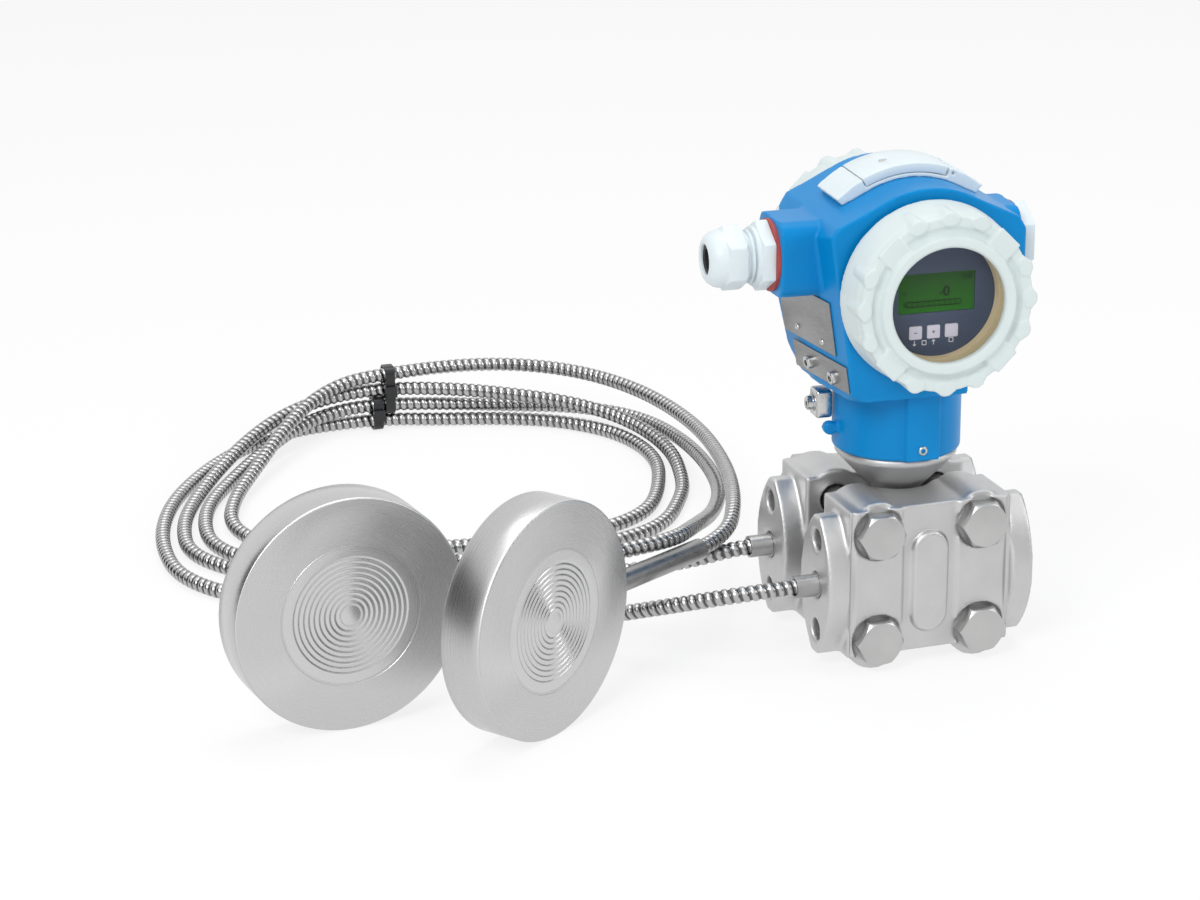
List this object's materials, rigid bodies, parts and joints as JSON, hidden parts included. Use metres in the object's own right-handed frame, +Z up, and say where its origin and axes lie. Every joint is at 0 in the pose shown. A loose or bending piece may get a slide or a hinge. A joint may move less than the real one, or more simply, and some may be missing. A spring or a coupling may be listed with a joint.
{
  "type": "differential pressure transmitter",
  "caption": "Differential pressure transmitter with a display head on a two-flange sensor and a pair of diaphragm seals on armoured capillary lines tied in a coil.",
  "frame": {"origin": "the point where the neck's turning axis meets the surface that the flanges and seals stand on", "axes": "+Z up along the neck; -Y is the display side; the capillary lines leave towards -X"},
  "size_m": [0.3643, 0.4527, 0.2178],
  "materials": {
    "cast_stainless": "bead-blasted satin",
    "turned_stainless": "turned, with fine concentric lines",
    "bolt_steel": "smooth",
    "armour": "ribbed, bright",
    "blue_paint": "gloss powder coat",
    "pale_paint": "gloss powder coat",
    "red_seal": "matt",
    "black_seal": "matt",
    "window_glass": "clear",
    "bezel": "satin",
    "display_green": "gloss",
    "display_ring": "satin",
    "key_plastic": "satin",
    "flap_plastic": "smooth",
    "dark_plastic": "matt",
    "plate_metal": "brushed",
    "plated_metal": "bright"
  },
  "bodies": {
    "process": {"high_flange": "cast_stainless", "low_flange": "cast_stainless", "flange_bolts": "bolt_steel", "flange_nuts": "bolt_steel", "high_gasket": "black_seal", "low_gasket": "black_seal", "sensor_cell": "turned_stainless", "high_ferrule": "turned_stainless", "low_ferrule": "turned_stainless", "neck_adapter": "turned_stainless", "high_capillary": "armour", "low_capillary": "armour", "upper_tie": "dark_plastic", "lower_tie": "dark_plastic", "high_seal_body": "turned_stainless", "high_diaphragm": "turned_stainless", "high_seal_tube": "turned_stainless", "low_seal_body": "turned_stainless", "low_diaphragm": "turned_stainless", "low_seal_tube": "turned_stainless"},
    "housing": {"housing": "blue_paint", "display_ring": "display_ring", "display_bezel": "bezel", "display_screen": "display_green", "electronics_insert": "dark_plastic", "terminal_block": "dark_plastic", "flap_frame": "flap_plastic", "flap_pin": "plated_metal", "gland_seal": "red_seal", "gland_body": "pale_paint", "gland_nut": "pale_paint", "gland_insert": "black_seal", "plug_seal": "red_seal", "blanking_plug": "pale_paint", "nameplate": "plate_metal", "nameplate_rivets": "plated_metal", "tag_plate": "plate_metal", "tag_screws": "plated_metal", "ground_clamp": "plated_metal", "ground_screw": "plated_metal", "lock_screw": "plated_metal"},
    "front_cover_seal": {"front_cover_seal": "red_seal"},
    "front_cover": {"front_cover": "pale_paint", "front_window": "window_glass"},
    "rear_cover_seal": {"rear_cover_seal": "red_seal"},
    "rear_cover": {"rear_cover": "pale_paint"},
    "flap": {"flap": "flap_plastic", "flap_screw": "plated_metal"},
    "zero_key": {"zero_key": "key_plastic"},
    "reset_key": {"reset_key": "key_plastic"},
    "span_key": {"span_key": "key_plastic"},
    "minus_key": {"minus_key": "key_plastic"},
    "plus_key": {"plus_key": "key_plastic"},
    "enter_key": {"enter_key": "key_plastic"}
  },
  "joints": [
    {"name": "housing_turn", "type": "hinge", "parent": "process", "child": "housing", "pos_m": [0, 0, 0.1], "axis": [0, 0, 1], "range_deg": [-190, 190]},
    {"name": "front_cover_draw", "type": "slide", "parent": "housing", "child": "front_cover_seal", "axis": [-0.061, -0.9981, 0], "range_m": [0, 0.009]},
    {"name": "front_cover_turn", "type": "hinge", "parent": "front_cover_seal", "child": "front_cover", "pos_m": [0, 0, 0.168], "axis": [-0.061, -0.9981, 0], "range_deg": [0, 2160]},
    {"name": "rear_cover_draw", "type": "slide", "parent": "housing", "child": "rear_cover_seal", "axis": [0.061, 0.9981, 0], "range_m": [0, 0.009]},
    {"name": "rear_cover_turn", "type": "hinge", "parent": "rear_cover_seal", "child": "rear_cover", "pos_m": [0, 0, 0.168], "axis": [0.061, 0.9981, 0], "range_deg": [0, 2160]},
    {"name": "flap_lift", "type": "hinge", "parent": "housing", "child": "flap", "pos_m": [0.01837, -0.00112, 0.21222], "axis": [0.061, 0.9981, 0], "range_deg": [0, 100]},
    {"name": "zero_key_press", "type": "slide", "parent": "housing", "child": "zero_key", "axis": [0, 0, -1], "range_m": [0, 0.001], "stiffness_N_per_m": 400},
    {"name": "reset_key_press", "type": "slide", "parent": "housing", "child": "reset_key", "axis": [0, 0, -1], "range_m": [0, 0.001], "stiffness_N_per_m": 400},
    {"name": "span_key_press", "type": "slide", "parent": "housing", "child": "span_key", "axis": [0, 0, -1], "range_m": [0, 0.001], "stiffness_N_per_m": 400},
    {"name": "minus_key_press", "type": "slide", "parent": "housing", "child": "minus_key", "axis": [0.061, 0.9981, 0], "range_m": [0, 0.0006], "stiffness_N_per_m": 400},
    {"name": "plus_key_press", "type": "slide", "parent": "housing", "child": "plus_key", "axis": [0.061, 0.9981, 0], "range_m": [0, 0.0006], "stiffness_N_per_m": 400},
    {"name": "enter_key_press", "type": "slide", "parent": "housing", "child": "enter_key", "axis": [0.061, 0.9981, 0], "range_m": [0, 0.0006], "stiffness_N_per_m": 400}
  ],
  "couplings": [
    {"joint": "front_cover_draw", "follows": "front_cover_turn", "m_per_rad": 0.00023873},
    {"joint": "rear_cover_draw", "follows": "rear_cover_turn", "m_per_rad": 0.00023873}
  ]
}
